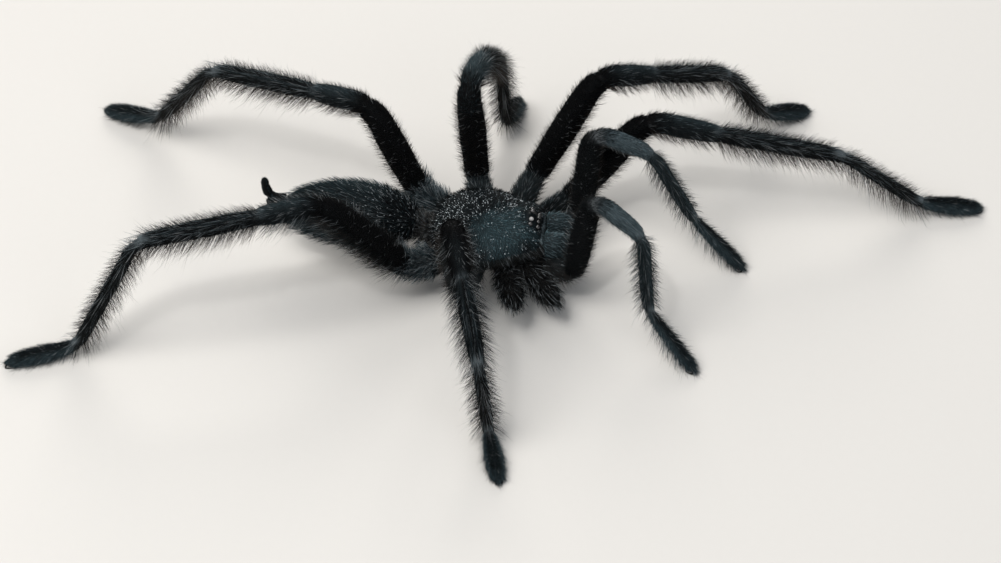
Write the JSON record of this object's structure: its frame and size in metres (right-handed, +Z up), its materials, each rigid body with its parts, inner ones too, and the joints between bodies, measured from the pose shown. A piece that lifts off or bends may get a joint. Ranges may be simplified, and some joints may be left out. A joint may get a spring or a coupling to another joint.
{
  "type": "tarantula",
  "caption": "Life-size still model of a long-legged black tarantula standing in a walking stance, with short stumps where its right front legs are lost.",
  "frame": {"origin": "on the floor, under the middle of the model's footprint", "axes": "+Z up, the head points along -Y, and the animal's left side is +X"},
  "size_m": [0.0672, 0.116, 0.0227],
  "materials": {
    "velvet": "jet-black velvet of short hairs on hard skin",
    "slate_fur": "dark hair with slate-grey streaks",
    "carapace_fur": "flat teal-grey down over a dark shell",
    "pale_joint": "bare pale-brown joint skin with whitish down",
    "horn": "polished black horn",
    "fringe_hair": "sparse long tan-grey hairs"
  },
  "bodies": {
    "root": {"carapace": "carapace_fur", "underside": "velvet", "pedicel": "pale_joint", "abdomen": "velvet", "eye_left_front_middle": "horn", "eye_left_front_side": "horn", "eye_left_rear_middle": "horn", "eye_left_rear_side": "horn", "chelicera_left": "slate_fur", "fang_left": "horn", "spinneret_long_left": "velvet", "spinneret_short_left": "velvet", "eye_right_front_middle": "horn", "eye_right_front_side": "horn", "eye_right_rear_middle": "horn", "eye_right_rear_side": "horn", "chelicera_right": "slate_fur", "fang_right": "horn", "spinneret_long_right": "velvet", "spinneret_short_right": "velvet", "leg_right_1_stump": "pale_joint", "leg_right_2_stump": "pale_joint", "leg_left_1_femur": "velvet", "leg_left_1_patella": "slate_fur", "leg_left_1_tibia": "slate_fur", "leg_left_1_metatarsus": "slate_fur", "leg_left_1_tarsus": "slate_fur", "leg_left_2_femur": "velvet", "leg_left_2_patella": "slate_fur", "leg_left_2_tibia": "slate_fur", "leg_left_2_metatarsus": "slate_fur", "leg_left_2_tarsus": "slate_fur", "leg_left_3_femur": "velvet", "leg_left_3_patella": "slate_fur", "leg_left_3_tibia": "slate_fur", "leg_left_3_metatarsus": "slate_fur", "leg_left_3_tarsus": "slate_fur", "leg_left_4_femur": "velvet", "leg_left_4_patella": "slate_fur", "leg_left_4_tibia": "slate_fur", "leg_left_4_metatarsus": "slate_fur", "leg_left_4_tarsus": "slate_fur", "leg_right_3_femur": "velvet", "leg_right_3_patella": "slate_fur", "leg_right_3_tibia": "slate_fur", "leg_right_3_metatarsus": "slate_fur", "leg_right_3_tarsus": "slate_fur", "leg_right_4_femur": "velvet", "leg_right_4_patella": "slate_fur", "leg_right_4_tibia": "slate_fur", "leg_right_4_metatarsus": "slate_fur", "leg_right_4_tarsus": "slate_fur", "palp_left_femur": "velvet", "palp_left_patella": "slate_fur", "palp_left_tibia": "slate_fur", "palp_left_tarsus": "slate_fur", "palp_right_femur": "velvet", "palp_right_patella": "slate_fur", "palp_right_tibia": "slate_fur", "palp_right_tarsus": "slate_fur"}
  },
  "joints": []
}
